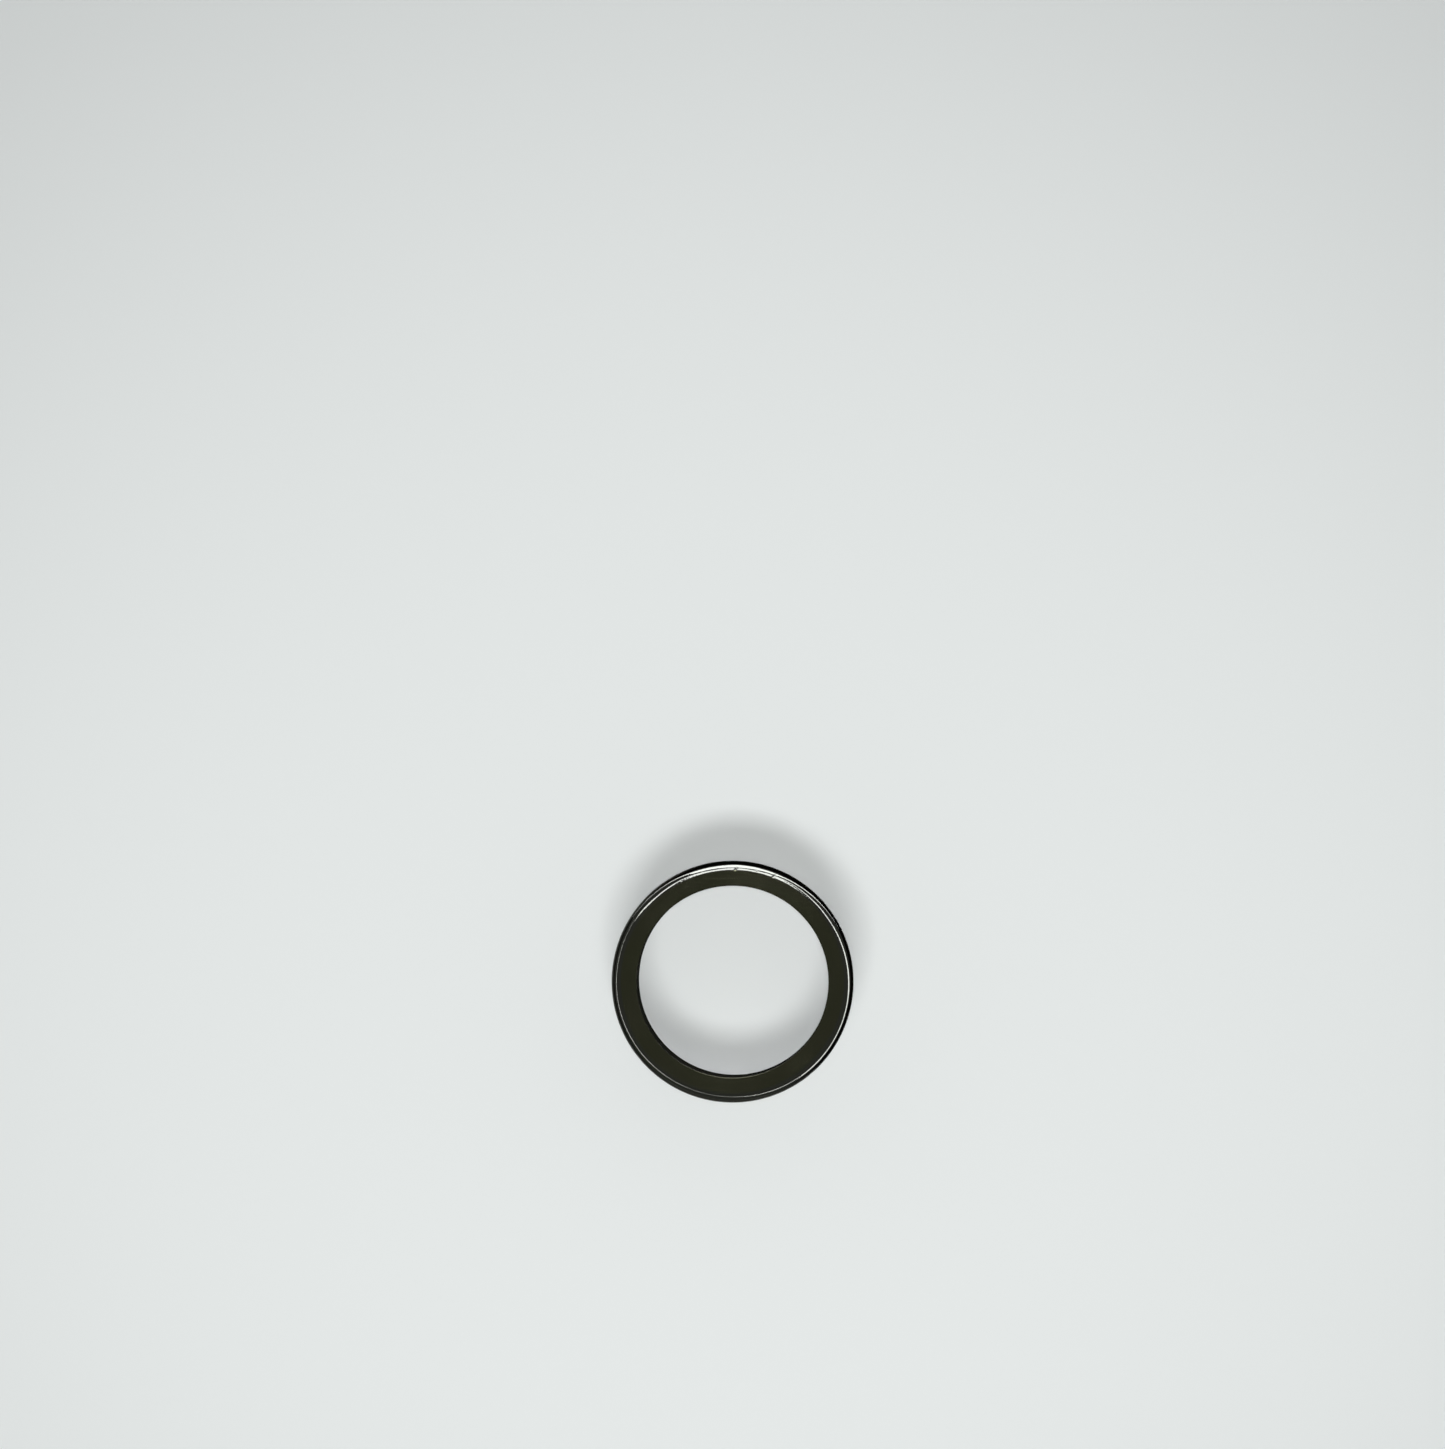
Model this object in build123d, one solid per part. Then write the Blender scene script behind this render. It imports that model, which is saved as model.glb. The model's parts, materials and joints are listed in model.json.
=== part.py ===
"""A screw-fit flesh tunnel of black-coated surgical steel, 16 mm gauge.

The front piece is one turned ring: a flat-faced front flange with a rounded lip, and the
barrel that the stretched lobe sits on. Its bore is widened from the back, up to a shoulder.
The screw back is a second turned ring: the back flange, and a thin sleeve that goes up into
the widened bore as far as that shoulder, so that the way through is one plain bore.

Millimetres, +Z up. The tunnel lies on its back flange. The origin is the centre of the back
face, and +Z runs along the bore to the front face.
"""

import os

from build123d import *

# Barrel and bore
gauge_diameter = 16.0      # outside of the barrel: the size that the tunnel is sold by
barrel_wall = 0.85         # barrel and sleeve together, from the gauge to the bore
wearable_length = 8.0      # of barrel, between the two flanges
bore_edge_radius = 0.06    # broken edge at each end of the bore

# Front flange
front_overhang = 1.0       # how far the front flange stands out past the barrel
front_thickness = 1.4
lip_radius = 0.7           # the rounded lip between the flat face and the rim
front_under_radius = 0.3   # between the rim and the underside

# Back flange
back_overhang = 0.8        # how far the back flange stands out past the barrel
back_thickness = 1.4
back_edge_radius = 0.45    # between the rim and the back face
back_inner_radius = 0.3    # between the rim and the side that faces the lobe

# Fillets where the barrel meets a flange, and at the barrel's free end
root_radius = 0.25
barrel_end_radius = 0.06

# Sleeve of the screw back, inside the barrel
sleeve_wall = 0.42
sleeve_length = 5.0        # from the back flange to the sleeve's free end
sleeve_clearance = 0.03    # between the sleeve and the barrel, all round
shoulder_gap = 0.05        # between the sleeve's free end and the shoulder
seat_gap = 0.03            # between the barrel's free end and the back flange
sleeve_edge_radius = 0.06

# Places that follow from those sizes
barrel_radius = gauge_diameter / 2
bore_radius = barrel_radius - barrel_wall
front_radius = barrel_radius + front_overhang
back_radius = barrel_radius + back_overhang
sleeve_radius = bore_radius + sleeve_wall
counterbore_radius = sleeve_radius + sleeve_clearance
barrel_end = back_thickness + seat_gap
front_underside = back_thickness + wearable_length
front_face = front_underside + front_thickness
sleeve_end = back_thickness + sleeve_length
shoulder = sleeve_end + shoulder_gap


def turned_ring(corners):
    """Turns a closed section about Z. corners holds radius, height and edge radius (0 is sharp)."""
    with BuildPart() as ring:
        with BuildSketch(Plane.XZ) as section:
            with BuildLine():
                Polyline([(radius, height) for radius, height, _ in corners], close=True)
            make_face()
            for radius, height, edge_radius in corners:
                if edge_radius:
                    corner = section.vertices().sort_by_distance((radius, height))[0]
                    fillet(corner, radius=edge_radius)
        revolve(axis=Axis.Z)
    return ring.part


def front_tunnel():
    """The front flange and the barrel, in one piece."""
    return turned_ring([
        (bore_radius, front_face, bore_edge_radius),
        (front_radius, front_face, lip_radius),
        (front_radius, front_underside, front_under_radius),
        (barrel_radius, front_underside, root_radius),
        (barrel_radius, barrel_end, barrel_end_radius),
        (counterbore_radius, barrel_end, 0),
        (counterbore_radius, shoulder, 0),
        (bore_radius, shoulder, 0),
    ])


def screw_back():
    """The back flange and its sleeve, in one piece."""
    return turned_ring([
        (bore_radius, 0, bore_edge_radius),
        (back_radius, 0, back_edge_radius),
        (back_radius, back_thickness, back_inner_radius),
        (sleeve_radius, back_thickness, 0),
        (sleeve_radius, sleeve_end, sleeve_edge_radius),
        (bore_radius, sleeve_end, 0),
    ])


os.makedirs("parts", exist_ok=True)
export_step(front_tunnel(), "parts/front_tunnel.step")
export_step(screw_back(), "parts/screw_back.step")
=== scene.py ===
import json
import math
import random

import bmesh
import bpy
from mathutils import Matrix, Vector

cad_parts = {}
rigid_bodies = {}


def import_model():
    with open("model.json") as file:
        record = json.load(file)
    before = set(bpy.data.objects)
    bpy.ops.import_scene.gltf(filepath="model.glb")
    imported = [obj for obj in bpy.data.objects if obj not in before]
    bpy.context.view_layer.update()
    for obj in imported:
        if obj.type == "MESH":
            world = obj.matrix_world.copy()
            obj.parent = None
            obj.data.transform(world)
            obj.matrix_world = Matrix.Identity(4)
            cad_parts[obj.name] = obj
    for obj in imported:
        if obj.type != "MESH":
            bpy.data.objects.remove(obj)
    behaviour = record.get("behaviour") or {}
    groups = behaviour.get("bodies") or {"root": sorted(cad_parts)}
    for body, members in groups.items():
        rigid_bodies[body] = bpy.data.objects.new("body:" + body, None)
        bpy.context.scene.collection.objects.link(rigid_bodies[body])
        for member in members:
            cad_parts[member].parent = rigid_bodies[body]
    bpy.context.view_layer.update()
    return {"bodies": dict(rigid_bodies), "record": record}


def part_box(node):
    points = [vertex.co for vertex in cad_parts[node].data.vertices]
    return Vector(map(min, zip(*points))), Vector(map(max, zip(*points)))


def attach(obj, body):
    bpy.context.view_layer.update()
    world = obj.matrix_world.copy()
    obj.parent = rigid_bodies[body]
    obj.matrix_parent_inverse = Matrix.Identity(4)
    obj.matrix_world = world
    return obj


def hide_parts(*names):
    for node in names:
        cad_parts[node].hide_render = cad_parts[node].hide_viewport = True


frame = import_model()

body = next(iter(frame["bodies"]))

# FRONT PIECE
# One ring turned from surgical steel bar: a flat-faced flange with a rounded lip, and the barrel
# that the stretched lobe sits on. Its bore is widened from the back, up to a shoulder, for the
# sleeve of the back piece. It is coated black all over.

mm = 0.001
mounts = {mount["name"]: mount for mount in frame["record"]["mounts"]}
front_low, front_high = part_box("front_tunnel")
_, back_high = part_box("screw_back")

bore_radius = mounts["bore"]["dims"]["r_mm"] * mm
barrel_radius = mounts["lobe_seat"]["dims"]["r_mm"] * mm
front_radius = front_high.x
front_face = front_high.z
barrel_end = front_low.z
front_thickness = 1.4 * mm
front_underside = front_face - front_thickness
sleeve_end = back_high.z
shoulder_gap = 0.05 * mm
shoulder = sleeve_end + shoulder_gap
sleeve_wall = 0.42 * mm
sleeve_radius = bore_radius + sleeve_wall
sleeve_clearance = 0.03 * mm
counterbore_radius = sleeve_radius + sleeve_clearance

lip_radius = 0.7 * mm
front_under_radius = 0.3 * mm
root_radius = 0.25 * mm
mouth_edge = 0.008 * mm      # the bore's mouth, almost sharp
broken_edge = 0.06 * mm      # the small radius left where an edge is only broken

support = 0.02 * mm          # from a rounded corner's end to the next point on the flat
turn_step = 0.75             # degrees between the faces round the ring
ding_step = 0.12             # degrees, close to a ding
ding_reach = 1.25            # how far to each side of a ding that is, in lengths of the ding
ding_fade = 6                # where a ding ends: half sizes from its middle, squared


def turned_outline(corners, rows=None):
    """
    Points along a closed section. corners holds radius, height, edge radius (0 is sharp) and the
    number of faces round the edge. rows says how many points divide the straight that follows a
    corner, by the corner's place.
    """
    points = []
    count = len(corners)
    for index, (radius, height, edge_radius, faces) in enumerate(corners):
        before = corners[index - 1]
        after = corners[(index + 1) % count]
        arriving = math.atan2(height - before[1], radius - before[0])
        leaving = math.atan2(after[1] - height, after[0] - radius)
        if edge_radius:
            turn = (leaving - arriving + math.pi) % (2 * math.pi) - math.pi
            setback = edge_radius * math.tan(abs(turn) / 2)
            side = math.copysign(1, turn)
            start = (radius - setback * math.cos(arriving), height - setback * math.sin(arriving))
            centre = (start[0] - side * edge_radius * math.sin(arriving),
                      start[1] + side * edge_radius * math.cos(arriving))
            points.append((start[0] - support * math.cos(arriving),
                           start[1] - support * math.sin(arriving)))
            for step in range(faces + 1):
                heading = arriving + turn * step / faces
                points.append((centre[0] + side * edge_radius * math.sin(heading),
                               centre[1] - side * edge_radius * math.cos(heading)))
            end = points[-1]
            points.append((end[0] + support * math.cos(leaving), end[1] + support * math.sin(leaving)))
        else:
            points.append((radius, height))
        divisions = (rows or {}).get(index, 0)
        here = points[-1]
        span = math.dist(here, after[:2]) - after[2] - support
        for step in range(1, divisions + 1):
            along = span * step / (divisions + 1)
            points.append((here[0] + along * math.cos(leaving), here[1] + along * math.sin(leaving)))
    return points


def turned_ring(name, outline, dented=(), sharp_angle=math.radians(30)):
    """
    A mesh object: the section turned about Z. dented holds azimuths, and how far to each side of
    them the faces are finer, in degrees.
    """
    azimuths = {round(step * turn_step, 3) for step in range(round(360 / turn_step))}
    for azimuth, reach in dented:
        first = round((azimuth - reach) / ding_step)
        last = round((azimuth + reach) / ding_step)
        azimuths |= {round(step * ding_step % 360, 3) for step in range(first, last + 1)}
    shape = bmesh.new()
    rings = []
    for azimuth in sorted(azimuths):
        angle = math.radians(azimuth)
        rings.append([shape.verts.new((r * math.cos(angle), r * math.sin(angle), z)) for r, z in outline])
    for step, ring in enumerate(rings):
        following = rings[(step + 1) % len(rings)]
        for index in range(len(outline)):
            other = (index + 1) % len(outline)
            shape.faces.new((ring[index], following[index], following[other], ring[other]))
    bmesh.ops.recalc_face_normals(shape, faces=shape.faces)
    mesh = bpy.data.meshes.new(name)
    shape.to_mesh(mesh)
    shape.free()
    mesh.polygons.foreach_set("use_smooth", [True] * len(mesh.polygons))
    mesh.set_sharp_from_angle(angle=sharp_angle)
    piece = bpy.data.objects.new(name, mesh)
    bpy.context.collection.objects.link(piece)
    return piece


def ding(piece, azimuth, radius, length, width, slant, depth):
    """
    Presses a small dent into the front face or lip, at a place seen from the front. Its long way is
    slanted from the radial line.
    """
    angle = math.radians(azimuth)
    centre = Vector((radius * math.cos(angle), radius * math.sin(angle)))
    long_way = angle + math.radians(slant)
    lengthways = Vector((math.cos(long_way), math.sin(long_way)))
    widthways = lengthways.orthogonal()
    moves = []
    for vertex in piece.data.vertices:
        if vertex.co.z < front_face - lip_radius:
            continue
        offset = vertex.co.xy - centre
        far = (offset.dot(lengthways) / (length / 2)) ** 2 + (offset.dot(widthways) / (width / 2)) ** 2
        if far < ding_fade:
            moves.append((vertex, -vertex.normal * depth * math.exp(-far)))
    for vertex, move in moves:
        vertex.co += move


def linear(colour):
    """An sRGB hex colour as the linear red, green, blue and alpha that a shader takes."""
    channels = [int(colour[place:place + 2], 16) / 255 for place in (1, 3, 5)]
    return [c / 12.92 if c <= 0.04045 else ((c + 0.055) / 1.055) ** 2.4 for c in channels] + [1.0]


def add_node(material, kind, inputs=None, **settings):
    """Adds a node to a material. inputs holds socket names with a value, or the output to link."""
    tree = material.node_tree
    node = tree.nodes.new(kind)
    for setting, value in settings.items():
        setattr(node, setting, value)
    for socket, value in (inputs or {}).items():
        if isinstance(value, bpy.types.NodeSocket):
            tree.links.new(value, node.inputs[socket])
        else:
            node.inputs[socket].default_value = value
    return node


def new_material(name):
    """An empty node material."""
    material = bpy.data.materials.new(name)
    material.use_nodes = True
    material.node_tree.nodes.clear()
    return material


# The notch and the nicks from wear: azimuth in degrees, radius, length, width, slant in degrees
# from radial, and depth. Smaller ones follow, on the left and lower part of the lip.
dings = [
    (88.2, 8.41 * mm, 0.24 * mm, 0.12 * mm, -45, 0.030 * mm),
    (68.5, 8.44 * mm, 0.22 * mm, 0.11 * mm, -45, 0.028 * mm),
    (77.8, 8.45 * mm, 0.14 * mm, 0.09 * mm, 80, 0.014 * mm),
    (183.0, 7.70 * mm, 0.14 * mm, 0.10 * mm, 0, 0.006 * mm),
]
random.seed(7)
small_dings = 14
small_azimuths = (150, 300)
small_radii = (8.55, 8.75)
small_lengths = (0.10, 0.16)
small_widths = (0.06, 0.10)
small_slants = (0, 180)
small_depths = (0.002, 0.005)
for number in range(small_dings):
    dings.append((random.uniform(*small_azimuths), random.uniform(*small_radii) * mm,
                  random.uniform(*small_lengths) * mm, random.uniform(*small_widths) * mm,
                  random.uniform(*small_slants), random.uniform(*small_depths) * mm))
dented = [(azimuth, math.degrees(ding_reach * length / radius))
          for azimuth, radius, length, *rest in dings]

face_rows = 12               # points across the flat face, after the first corner
front_outline = turned_outline([
    (bore_radius, front_face, mouth_edge, 4),
    (front_radius, front_face, lip_radius, 36),
    (front_radius, front_underside, front_under_radius, 10),
    (barrel_radius, front_underside, root_radius, 8),
    (barrel_radius, barrel_end, broken_edge, 4),
    (counterbore_radius, barrel_end, 0, 0),
    (counterbore_radius, shoulder, 0, 0),
    (bore_radius, shoulder, 0, 0),
], rows={0: face_rows})
front = turned_ring("front_piece", front_outline, dented)
for row in dings:
    ding(front, *row)

# Surgical steel with a black vacuum coating a few thousandths of a millimetre thick. The coating
# takes the shine of the steel under it, so the four materials differ in how that was finished.


def turned_places(material):
    """Object coordinates in mm, the distance from the axis, and the height: three outputs."""
    place = add_node(material, "ShaderNodeTexCoord").outputs["Object"]
    scaled = add_node(material, "ShaderNodeVectorMath", {0: place, 1: (1 / mm, 1 / mm, 1 / mm)},
                      operation="MULTIPLY").outputs["Vector"]
    flat = add_node(material, "ShaderNodeVectorMath", {0: scaled, 1: (1, 1, 0)},
                    operation="MULTIPLY").outputs["Vector"]
    distance = add_node(material, "ShaderNodeVectorMath", {0: flat}, operation="LENGTH").outputs["Value"]
    height = add_node(material, "ShaderNodeSeparateXYZ", {0: scaled}).outputs["Z"]
    return scaled, distance, height


def turning_marks(material, places, pitch, fade):
    """Noise that runs round the axis in lines a pitch apart, and changes over a length fade, in mm."""
    scaled, distance, height = places
    across = add_node(material, "ShaderNodeMath", {0: distance, 1: 1 / pitch}, operation="MULTIPLY")
    upward = add_node(material, "ShaderNodeMath", {0: height, 1: 1 / pitch}, operation="MULTIPLY")
    slantwise = (1 / fade, 0.7 / fade, 0)
    slow = add_node(material, "ShaderNodeVectorMath", {0: scaled, 1: slantwise}, operation="DOT_PRODUCT")
    lines = add_node(material, "ShaderNodeCombineXYZ",
                     {0: across.outputs[0], 1: upward.outputs[0], 2: slow.outputs["Value"]})
    return add_node(material, "ShaderNodeTexNoise",
                    {"Vector": lines.outputs[0], "Scale": 1.0, "Detail": 2.0}).outputs["Fac"]


def patches(material, places, size, low, high):
    """Soft patches of a size in mm, as a number from low to high."""
    noise = add_node(material, "ShaderNodeTexNoise",
                     {"Vector": places[0], "Scale": 1 / size, "Detail": 3.0})
    usual_least = 0.3        # the noise is seldom outside these
    usual_most = 0.7
    spread = add_node(material, "ShaderNodeMapRange", {
        "Value": noise.outputs["Fac"], "From Min": usual_least, "From Max": usual_most,
        "To Min": low, "To Max": high,
    })
    return spread.outputs["Result"]


def hairlines(material, places, turn, width, length):
    """Fine straight scratches, 1 on a scratch and 0 off it, turned by an angle, in mm."""
    laid = add_node(material, "ShaderNodeMapping", {
        "Vector": places[0],
        "Rotation": (0, 0, math.radians(turn)),
        "Scale": (1 / length, 1 / width, 1 / length),
    })
    noise = add_node(material, "ShaderNodeTexNoise",
                     {"Vector": laid.outputs[0], "Scale": 1.0, "Detail": 0.0})
    scratch_starts = 0.72    # only the noise's peaks make a scratch
    scratch_full = 0.80
    kept = add_node(material, "ShaderNodeMapRange", {
        "Value": noise.outputs["Fac"], "From Min": scratch_starts, "From Max": scratch_full,
        "To Min": 0.0, "To Max": 1.0,
    })
    return kept.outputs["Result"]


# Fine-turned under the coating: it gives a satin black with an olive cast, drawn out across the
# turning marks. The real marks are 0.05 mm apart, and are drawn 0.2 mm apart, so that they show.
turned_face = new_material("black_coated_steel_fine_turned")
face_places = turned_places(turned_face)
turned_mark = turning_marks(turned_face, face_places, pitch=0.2, fade=9)
turned_tone = add_node(turned_face, "ShaderNodeMix", {
    "Factor": patches(turned_face, face_places, size=3.5, low=0.0, high=1.0),
    "A": linear("#3A3C2C"),
    "B": linear("#3D3E30"),
}, data_type="RGBA")
turned_bump = add_node(turned_face, "ShaderNodeBump", {
    "Height": turned_mark, "Distance": 0.0006 * mm, "Strength": 1.0,
})
turned_scratch = add_node(turned_face, "ShaderNodeBump", {
    "Height": hairlines(turned_face, face_places, turn=38, width=0.09, length=4),
    "Distance": -0.001 * mm, "Strength": 0.6, "Normal": turned_bump.outputs[0],
})
turned_shader = add_node(turned_face, "ShaderNodeBsdfPrincipled", {
    "Base Color": turned_tone.outputs[2],
    "Metallic": 1.0,
    "Roughness": patches(turned_face, face_places, size=2.5, low=0.08, high=0.12),
    "Anisotropic": 0.4,
    "Anisotropic Rotation": 0.25,
    "Normal": turned_scratch.outputs[0],
})
add_node(turned_face, "ShaderNodeOutputMaterial", {"Surface": turned_shader.outputs["BSDF"]})

# Polished under the coating: it gives sharp bright lines on near black, a little uneven from hand
# polishing, in waves about half a millimetre long, and broken up by the coating's grain. That is
# under 0.01 mm really, and is drawn 0.14 mm across, so that it shows. So are the last traces of
# turning marks, drawn 0.15 mm apart, three times their real spacing.
polished_wave_length = 0.5
polished_grain_size = 0.14
polished = new_material("black_coated_steel_polished")
polished_places = turned_places(polished)
polished_tone = add_node(polished, "ShaderNodeMix", {
    "Factor": patches(polished, polished_places, size=3.0, low=0.0, high=1.0),
    "A": linear("#3A3B36"),
    "B": linear("#3D3F38"),
}, data_type="RGBA")
polished_wave = add_node(polished, "ShaderNodeTexNoise",
                         {"Vector": polished_places[0], "Scale": 1 / polished_wave_length, "Detail": 1.0})
polished_wave_bump = add_node(polished, "ShaderNodeBump", {
    "Height": polished_wave.outputs["Fac"], "Distance": 0.002 * mm, "Strength": 1.0,
})
polished_grain = add_node(polished, "ShaderNodeTexNoise",
                          {"Vector": polished_places[0], "Scale": 1 / polished_grain_size, "Detail": 1.0})
polished_grain_bump = add_node(polished, "ShaderNodeBump", {
    "Height": polished_grain.outputs["Fac"], "Distance": 0.0024 * mm, "Strength": 1.0,
    "Normal": polished_wave_bump.outputs[0],
})
polished_mark_bump = add_node(polished, "ShaderNodeBump", {
    "Height": turning_marks(polished, polished_places, pitch=0.15, fade=6),
    "Distance": 0.0002 * mm, "Strength": 1.0, "Normal": polished_grain_bump.outputs[0],
})
polished_shader = add_node(polished, "ShaderNodeBsdfPrincipled", {
    "Base Color": polished_tone.outputs[2],
    "Metallic": 1.0,
    "Roughness": patches(polished, polished_places, size=1.8, low=0.03, high=0.07),
    "Normal": polished_mark_bump.outputs[0],
})
add_node(polished, "ShaderNodeOutputMaterial", {"Surface": polished_shader.outputs["BSDF"]})

# Bored with a fine feed: it gives a soft black with fine lines round the hole, drawn 0.18 mm
# apart, about three times their real spacing, so that they show.
bored = new_material("black_coated_steel_bored")
bored_places = turned_places(bored)
bored_bump = add_node(bored, "ShaderNodeBump", {
    "Height": turning_marks(bored, bored_places, pitch=0.18, fade=12),
    "Distance": 0.002 * mm, "Strength": 1.0,
})
bored_shader = add_node(bored, "ShaderNodeBsdfPrincipled", {
    "Base Color": linear("#33342D"),
    "Metallic": 1.0,
    "Roughness": patches(bored, bored_places, size=2.0, low=0.20, high=0.28),
    "Normal": bored_bump.outputs[0],
})
add_node(bored, "ShaderNodeOutputMaterial", {"Surface": bored_shader.outputs["BSDF"]})

# Turned and lightly polished under the coating, on the barrel and the back piece: it gives a soft
# black sheen with faint turning marks and a few hairline scratches from wear. The marks are drawn
# 0.22 mm apart, four times their real spacing, so that they show.
satin = new_material("black_coated_steel_satin")
satin_places = turned_places(satin)
satin_tone = add_node(satin, "ShaderNodeMix", {
    "Factor": patches(satin, satin_places, size=2.5, low=0.0, high=1.0),
    "A": linear("#3A3B34"),
    "B": linear("#42433A"),
}, data_type="RGBA")
satin_mark_bump = add_node(satin, "ShaderNodeBump", {
    "Height": turning_marks(satin, satin_places, pitch=0.22, fade=14),
    "Distance": 0.002 * mm, "Strength": 1.0,
})
satin_scratch_bump = add_node(satin, "ShaderNodeBump", {
    "Height": hairlines(satin, satin_places, turn=70, width=0.08, length=3),
    "Distance": -0.001 * mm, "Strength": 0.5, "Normal": satin_mark_bump.outputs[0],
})
satin_shader = add_node(satin, "ShaderNodeBsdfPrincipled", {
    "Base Color": satin_tone.outputs[2],
    "Metallic": 1.0,
    "Roughness": patches(satin, satin_places, size=2.0, low=0.14, high=0.21),
    "Normal": satin_scratch_bump.outputs[0],
})
add_node(satin, "ShaderNodeOutputMaterial", {"Surface": satin_shader.outputs["BSDF"]})

# The first finish is for what the lines below don't name, here the lip and the rim.
front_finishes = [polished, turned_face, bored, satin]
for finish in front_finishes:
    front.data.materials.append(finish)
face_edge = front_radius - lip_radius
for face in front.data.polygons:
    from_axis = face.center.xy.length
    if from_axis < bore_radius + mouth_edge:
        face.material_index = front_finishes.index(bored)
    elif face.center.z > front_face - broken_edge and from_axis < face_edge:
        face.material_index = front_finishes.index(turned_face)
    elif face.center.z < front_underside + broken_edge:
        face.material_index = front_finishes.index(satin)

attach(front, body)
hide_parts("front_tunnel")

# BACK PIECE
# A second turned ring of the same steel, screwed in from behind: the back flange, and a thin
# sleeve that goes up into the barrel as far as its shoulder. It lies on the floor.

back_radius = back_high.x
back_thickness = 1.4 * mm
back_edge_radius = 0.45 * mm
back_inner_radius = 0.3 * mm

back = turned_ring("back_piece", turned_outline([
    (bore_radius, 0, broken_edge, 4),
    (back_radius, 0, back_edge_radius, 16),
    (back_radius, back_thickness, back_inner_radius, 12),
    (sleeve_radius, back_thickness, 0, 0),
    (sleeve_radius, sleeve_end, broken_edge, 4),
    (bore_radius, sleeve_end, 0, 0),
]))
back_finishes = [satin, turned_face, bored]
for finish in back_finishes:
    back.data.materials.append(finish)
back_face_edge = back_radius - back_edge_radius
for face in back.data.polygons:
    from_axis = face.center.xy.length
    if from_axis < bore_radius + broken_edge:
        face.material_index = back_finishes.index(bored)
    elif face.center.z < broken_edge and from_axis < back_face_edge:
        face.material_index = back_finishes.index(turned_face)

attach(back, body)
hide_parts("screw_back")

# FLOOR
# A sheet of pale matt card that the tunnel lies on. Over it lies a grey sheet that only the metal mirrors.
# It is painted shade in the reflections, darker on one side and in the bore, to keep the black metal black
# there.


def sheet(name, half, height, material):
    """A square sheet that lies flat, half a side long to each side of the axis."""
    shape = bmesh.new()
    sides = ((-1, -1), (1, -1), (1, 1), (-1, 1))
    shape.faces.new([shape.verts.new((x * half, y * half, height)) for x, y in sides])
    mesh = bpy.data.meshes.new(name)
    shape.to_mesh(mesh)
    shape.free()
    mesh.materials.append(material)
    flat = bpy.data.objects.new(name, mesh)
    bpy.context.collection.objects.link(flat)
    return flat


def shows_only_in_gloss(thing):
    """The metal mirrors it, and nothing else sees it."""
    thing.visible_camera = False
    thing.visible_diffuse = False
    thing.visible_transmission = False
    thing.visible_volume_scatter = False
    thing.visible_shadow = False


card_colour = "#EBEFEE"
card_half = 3.0
card_height = -0.01 * mm     # just under the tunnel, and under the paper
card = new_material("matt_card")
card_shader = add_node(card, "ShaderNodeBsdfPrincipled", {
    "Base Color": linear(card_colour),
    "Roughness": 0.9,
    "Specular IOR Level": 0.0,
})
add_node(card, "ShaderNodeOutputMaterial", {"Surface": card_shader.outputs["BSDF"]})
sheet("floor", card_half, card_height, card)

paper_half = 0.085
paper_height = -0.005 * mm
# Where the sheet's painted shade lies: towards one side, and in the bore.
dark_side = math.radians(34)    # the azimuth that the paper's dark side faces
dark_starts = -3                # mm from the axis, towards that side
dark_full = 8
dark_in_bore = 7.3              # mm from the axis, all round
pale_starts = 45                # mm from the axis, where the paper takes on the card's colour
pale_full = 80
# Painted shade in the reflections: the sheet's colour goes dark grey towards one side and inside the bore,
# is mid grey elsewhere near the tunnel, and fades to the card's colour far out.
reflected_shade_sheet = new_material("painted_reflected_shade")
paper_places = turned_places(reflected_shade_sheet)
painted_shade_far = add_node(reflected_shade_sheet, "ShaderNodeMapRange", {
    "Value": paper_places[1], "From Min": pale_starts, "From Max": pale_full,
    "To Min": 0.0, "To Max": 1.0,
})
painted_shade_sideways = add_node(reflected_shade_sheet, "ShaderNodeVectorMath", {
    0: paper_places[0], 1: (math.cos(dark_side), math.sin(dark_side), 0),
}, operation="DOT_PRODUCT")
painted_shade_side = add_node(reflected_shade_sheet, "ShaderNodeMapRange", {
    "Value": painted_shade_sideways.outputs["Value"], "From Min": dark_starts, "From Max": dark_full,
    "To Min": 0.0, "To Max": 1.0,
})
painted_shade_in_bore = add_node(reflected_shade_sheet, "ShaderNodeMath", {0: paper_places[1], 1: dark_in_bore},
                         operation="LESS_THAN")
painted_shade_mask = add_node(reflected_shade_sheet, "ShaderNodeMath", {0: painted_shade_side.outputs[0], 1: painted_shade_in_bore.outputs[0]},
                      operation="MAXIMUM")
painted_shade_near_tone = add_node(reflected_shade_sheet, "ShaderNodeMix", {
    "Factor": painted_shade_mask.outputs[0], "A": linear("#9A9A96"), "B": linear("#262621"),
}, data_type="RGBA")
painted_shade_tone = add_node(reflected_shade_sheet, "ShaderNodeMix", {
    "Factor": painted_shade_far.outputs[0], "A": painted_shade_near_tone.outputs[2], "B": linear(card_colour),
}, data_type="RGBA")
paper_shader = add_node(reflected_shade_sheet, "ShaderNodeBsdfPrincipled", {
    "Base Color": painted_shade_tone.outputs[2],
    "Roughness": 0.9,
    "Specular IOR Level": 0.0,
})
add_node(reflected_shade_sheet, "ShaderNodeOutputMaterial", {"Surface": paper_shader.outputs["BSDF"]})
shows_only_in_gloss(sheet("reflected_shade_sheet", paper_half, paper_height, reflected_shade_sheet))

# CAMERA
# Almost straight above, as the photograph looks almost straight at the front face, from a little
# to the right and above. The photograph is 1445 x 1449 pixels.

photo_width = 1445
photo_height = 1449
ring_x = 732.55              # the middle of the ring's outer edge, in pixels
ring_y = 981.7
ring_across = 241.8          # and its diameter
seen_from_right = math.radians(0.8)
seen_from_above = math.radians(1.05)
camera_distance = 1.5
sensor = 36.0

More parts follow.
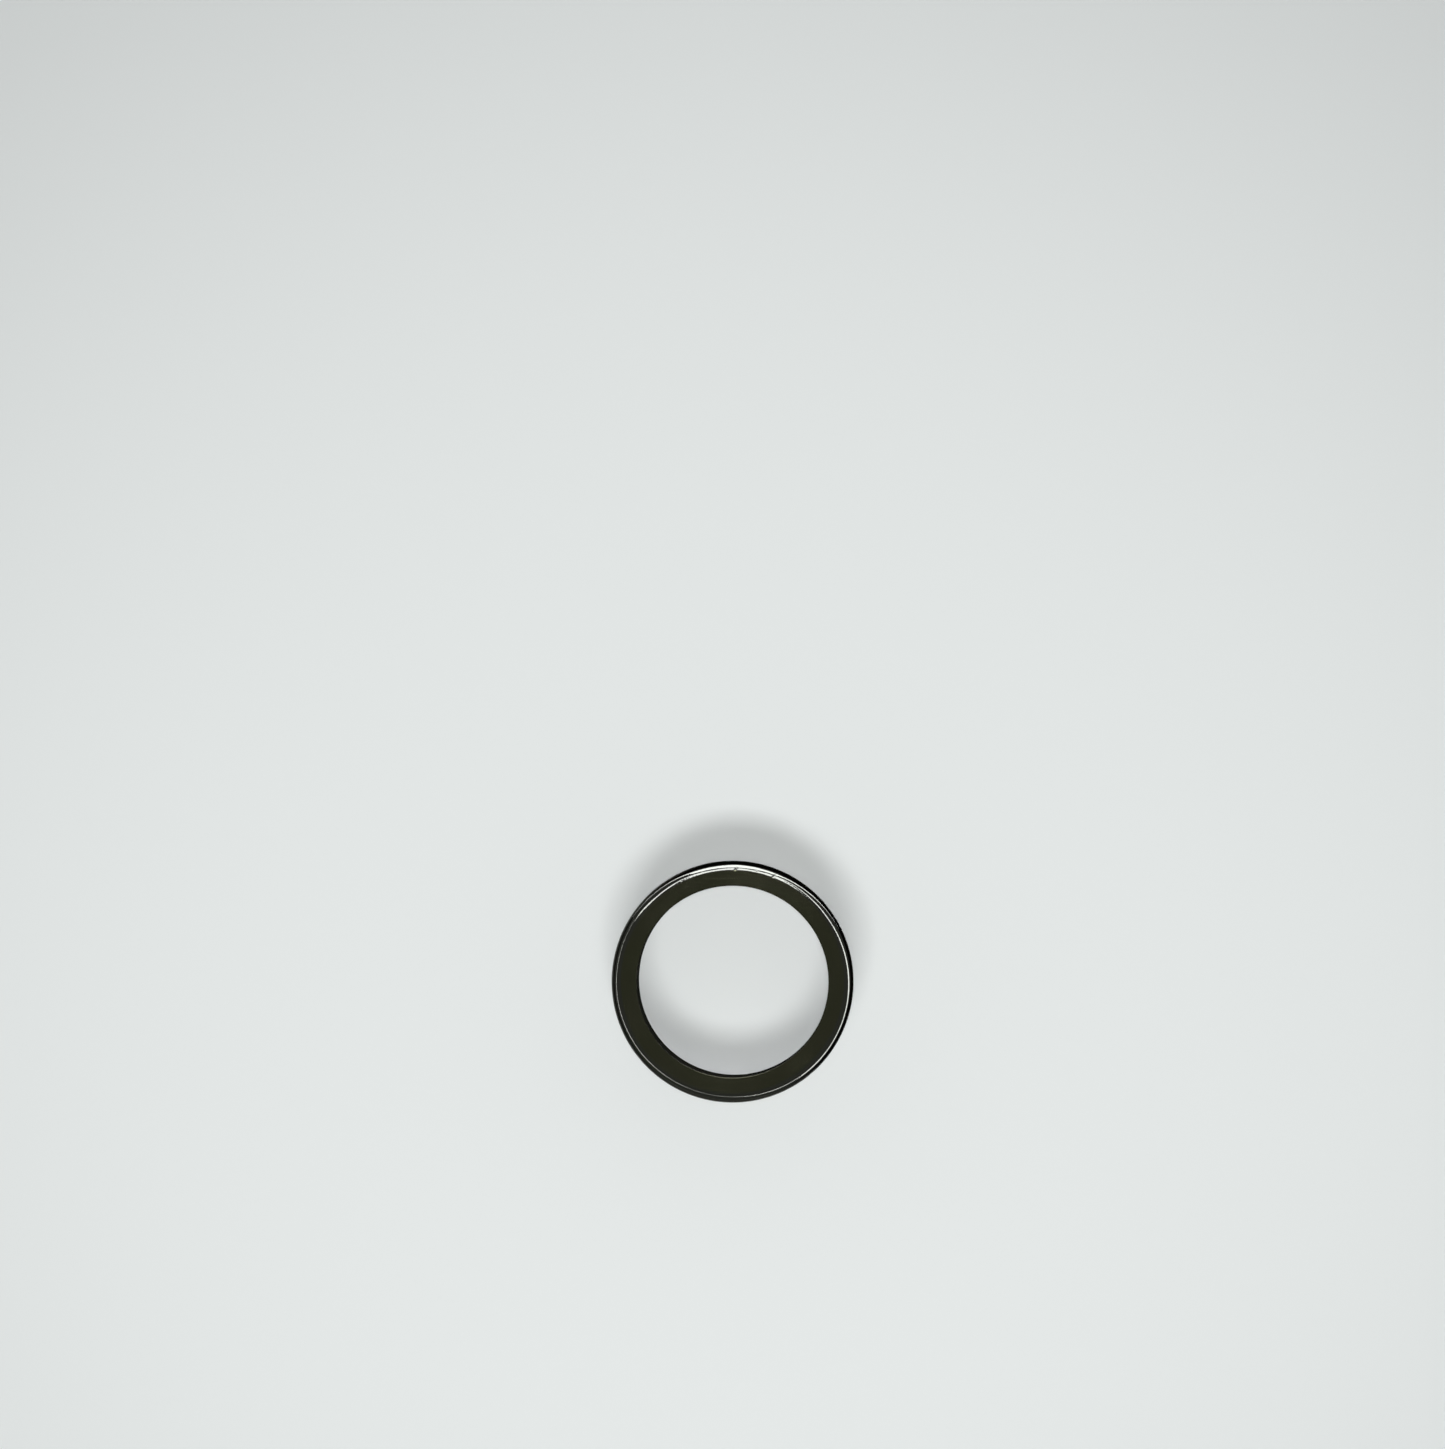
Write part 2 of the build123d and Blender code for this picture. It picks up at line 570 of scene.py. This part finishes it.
pixel = 2 * front_radius / ring_across
rim_middle = Vector((0, 0, front_face - lip_radius))
towards_camera = Vector((math.tan(seen_from_right), math.tan(seen_from_above), 1)).normalized()
in_picture = Vector(((ring_x - photo_width / 2) * pixel, (photo_height / 2 - ring_y) * pixel,
                     -camera_distance))

camera_data = bpy.data.cameras.new("camera")
camera_data.sensor_width = sensor
camera_data.lens = sensor * camera_distance / (photo_height * pixel)
camera_data.clip_start = 0.05
camera_data.clip_end = 20
camera = bpy.data.objects.new("camera", camera_data)
camera.location = rim_middle + towards_camera * in_picture.length
camera.rotation_mode = "QUATERNION"
camera.rotation_quaternion = in_picture.rotation_difference(-towards_camera)
bpy.context.collection.objects.link(camera)
bpy.context.scene.camera = camera

# LIGHTS
# Soft studio light. The metal mirrors bent lamps that stand round the tunnel, and they give the lip its
# lines: bright over the top and right of the picture, dim over the rest. A black strip behind that only the
# metal mirrors paints shade into the rim outside them. Other lamps light the card, and the metal doesn't
# mirror them.

lamp_distance = 0.6
tail_distance = 0.04         # the window's tails stand close, in front of the black flag
# The black strip of painted shade stands this far from the tunnel.
shade_strip_distance = 0.045
long_lamp_radiance = 22
window_radiance = 26
dim_lamp_radiance = 20
lamp_colour = "#F3F0FF"      # cool, so that what the olive-black metal mirrors of it is white


def direction(azimuth, elevation):
    """The unit vector that way from the tunnel: azimuth from +X towards +Y, both in degrees."""
    round_axis = math.radians(azimuth)
    up = math.radians(elevation)
    return Vector((math.cos(round_axis) * math.cos(up), math.sin(round_axis) * math.cos(up), math.sin(up)))


def bent_strip(name, material, distance, height, path):
    """
    A strip that bends round the tunnel and shows only in the metal. path holds azimuth, elevation
    and thickness, all in degrees, as seen from a height on the axis.
    """
    shape = bmesh.new()
    spots = [direction(azimuth, elevation) for azimuth, elevation, thickness in path]
    rails = []
    for index, spot in enumerate(spots):
        along = spots[min(index + 1, len(spots) - 1)] - spots[max(index - 1, 0)]
        across = along.cross(spot).normalized() * math.tan(math.radians(path[index][2]) / 2)
        rails.append([shape.verts.new((spot + across * side) * distance + Vector((0, 0, height)))
                      for side in (-1, 1)])
    for rail, following in zip(rails, rails[1:]):
        shape.faces.new((rail[0], following[0], following[1], rail[1]))
    mesh = bpy.data.meshes.new(name)
    shape.to_mesh(mesh)
    shape.free()
    mesh.materials.append(material)
    strip = bpy.data.objects.new(name, mesh)
    bpy.context.collection.objects.link(strip)
    shows_only_in_gloss(strip)


def bent_lamp(name, radiance, path, distance=lamp_distance):
    """A glowing strip."""
    glow = new_material(name)
    emission = add_node(glow, "ShaderNodeEmission", {"Color": linear(lamp_colour), "Strength": radiance})
    add_node(glow, "ShaderNodeOutputMaterial", {"Surface": emission.outputs["Emission"]})
    bent_strip(name, glow, distance, front_face, path)


def card_lamp(name, kind, location, power, **settings):
    """A light that faces the tunnel and lights the card alone."""
    data = bpy.data.lights.new(name, kind)
    for setting, value in settings.items():
        setattr(data, setting, value)
    data.energy = power
    light = bpy.data.objects.new(name, data)
    light.location = location
    light.rotation_mode = "QUATERNION"
    light.rotation_quaternion = (-Vector(location)).to_track_quat("-Z", "Y")
    light.visible_camera = False
    light.visible_glossy = False
    bpy.context.collection.objects.link(light)


# azimuth, elevation, thickness, all in degrees
bent_lamp("long_lamp", long_lamp_radiance, [
    (-56.5, 24.5, 9), (-45, 21.5, 11), (-35, 19.5, 9.6), (-20, 20, 9.2), (-10, 23, 10.8), (0, 29, 12),
    (10, 34.5, 10.4), (20, 41.5, 7.6), (30, 49.5, 6), (40, 54, 10), (48, 56, 8), (54, 54.8, 7),
    (60, 56.3, 5.6), (66, 60.3, 3.6), (70, 66, 6), (74, 72, 14), (82, 72.5, 20.5), (90, 72.5, 22.5),
    (98, 73, 21.5), (105, 71.5, 10), (109, 68, 4.6), (113, 63, 4), (120, 61, 9), (126, 62.5, 12.5),
    (132, 60.5, 11), (138, 57, 4.2), (143, 49, 5), (147, 43, 5),
])
bent_lamp("window", window_radiance, [
    (40, 5, 2.6), (45, 10.5, 4.0), (50, 17, 4.6), (55, 22.5, 5.2), (60, 27.5, 6.8), (65, 31, 7.6),
    (70, 34, 14.5), (75, 35.5, 24), (82, 37, 31.5), (90, 37.5, 33.5), (98, 37.5, 32.5), (105, 33, 18),
    (110, 28.5, 7), (114, 23.5, 3.8), (118, 18, 3.6), (122, 13.5, 3.3), (126, 8.5, 2.4),
])
bent_lamp("window_right_tail", window_radiance, [
    (26, -8, 0.3), (32, -4, 1.0), (38, 2, 2.0), (41, 6, 2.4),
], distance=tail_distance)
bent_lamp("window_left_tail", window_radiance, [
    (125, 9, 2.3), (131, 4, 2.0), (138, -2, 1.6), (148, -8, 0.5),
], distance=tail_distance)
bent_lamp("dim_lamp", dim_lamp_radiance, [
    (149, 31.5, 0.6), (155, 36, 1.1), (165, 35, 1.9), (180, 31, 2.5), (190, 30, 3.3), (200, 32, 4.1),
    (210, 35, 3.6), (220, 35.5, 3.6), (230, 40, 2.8), (240, 42, 2.4), (250, 44, 1.2), (260, 45, 1.0),
    (270, 44, 1.7), (280, 37, 2.2), (286, 35, 3.8), (293, 31, 4.2), (300, 29, 3.3), (303, 27.5, 3.2),
])

# Painted shade: a black strip that only the metal mirrors. It stands low round most of the tunnel, so that
# the rim mirrors dark there.
painted_shade_black = new_material("painted_shade_black")
black_shader = add_node(painted_shade_black, "ShaderNodeBsdfPrincipled", {
    "Base Color": linear("#101010"),
    "Roughness": 0.9,
    "Specular IOR Level": 0.0,
})
add_node(painted_shade_black, "ShaderNodeOutputMaterial", {"Surface": black_shader.outputs["BSDF"]})
bent_strip("painted_shade_strip", painted_shade_black, shade_strip_distance, front_face, [
    (-74, -6, 0.3), (-60, -6, 8), (-45, -6, 13), (-20, -6, 14), (8, -6, 14), (30, -6, 14), (50, -3.5, 19),
    (70, -3, 21), (90, -2.5, 22), (110, -3, 21), (130, -4, 18), (150, -6, 14), (180, -6, 12), (210, -6, 13),
    (225, -6, 8), (240, -6, 0.3),
])

# The first two are narrow, and in line with the camera: they light all of the card that it sees
# through the bore. The third shades the lower part of that, and the last all that is near the metal.
card_lamp("overhead_lamp", "AREA", towards_camera * 3.0, power=15.5, shape="DISK", size=0.03)
card_lamp("overhead_spot", "SPOT", towards_camera * 1.5, power=19, spot_size=math.radians(8.2),
          spot_blend=1.0, shadow_soft_size=0.015)
card_lamp("low_softbox", "AREA", (-0.01, -0.14, 0.5), power=1.0, shape="RECTANGLE", size=0.14, size_y=0.085)
card_lamp("wide_softbox", "AREA", (0, 0, 0.6), power=4.8, shape="DISK", size=3.0)

world = bpy.data.worlds.new("studio")
world.use_nodes = True
world.node_tree.nodes["Background"].inputs["Color"].default_value = linear("#FFFFFF")
world.node_tree.nodes["Background"].inputs["Strength"].default_value = 0.42
world.cycles_visibility.diffuse = False
bpy.context.scene.world = world

bpy.context.scene.view_settings.view_transform = "Standard"
bpy.context.scene.view_settings.look = "None"
